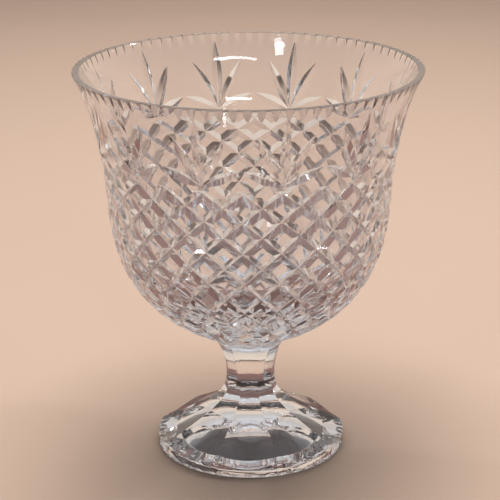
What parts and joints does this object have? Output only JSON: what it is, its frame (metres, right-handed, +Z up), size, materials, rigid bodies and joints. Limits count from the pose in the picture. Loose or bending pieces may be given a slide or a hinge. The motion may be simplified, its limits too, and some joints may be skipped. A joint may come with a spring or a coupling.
{
  "type": "footed punch bowl",
  "caption": "Deep flared cut-crystal punch bowl with diamond and fan cutting, bonded to a fluted stem on a pleated round foot.",
  "frame": {"origin": "centre of the foot's resting ring, on the table", "axes": "+Z up along the bowl's axis of revolution; -Y is the front; +X is to the right seen from the front"},
  "size_m": [0.2998, 0.2998, 0.344],
  "materials": {
    "bowl_crystal": "polished clear crystal, hand-cut facets, very faint grey tint",
    "clear_bond": "clear cured adhesive film",
    "stem_crystal": "polished clear crystal, flat panels",
    "foot_crystal": "polished clear crystal, pleated panels and fluted underside"
  },
  "bodies": {
    "root": {"bowl": "bowl_crystal", "bowl_bond": "clear_bond", "stem": "stem_crystal", "foot": "foot_crystal"}
  },
  "joints": []
}
